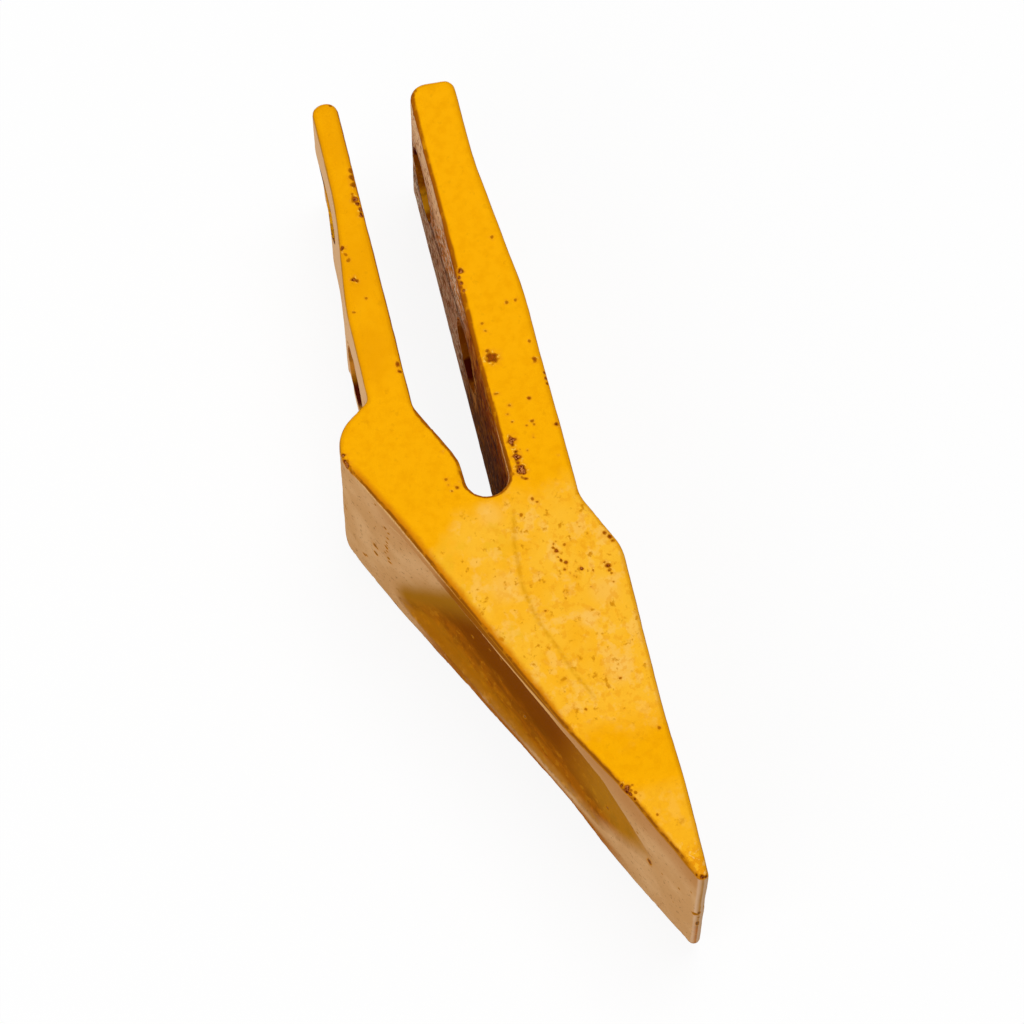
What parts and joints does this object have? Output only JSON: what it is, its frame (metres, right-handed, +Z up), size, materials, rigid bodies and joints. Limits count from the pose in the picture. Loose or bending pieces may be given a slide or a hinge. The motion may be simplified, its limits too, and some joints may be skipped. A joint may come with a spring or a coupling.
{
  "type": "bucket tooth",
  "caption": "Bolt-on bucket tooth: a scooped steel wedge with a blunt cutting edge and two forked legs that straddle a lip plate and take cross bolts.",
  "frame": {"origin": "under the middle of the part's overall box, on the surface that the tooth lies on", "axes": "+X along the slot towards the cutting edge, +Y from the thin leg to the thick leg, +Z up, across the width of the tooth"},
  "size_m": [0.2426, 0.0672, 0.0664],
  "materials": {
    "body": "worn yellow paint over cast steel"
  },
  "bodies": {
    "root": {"tooth": "body"}
  },
  "joints": []
}
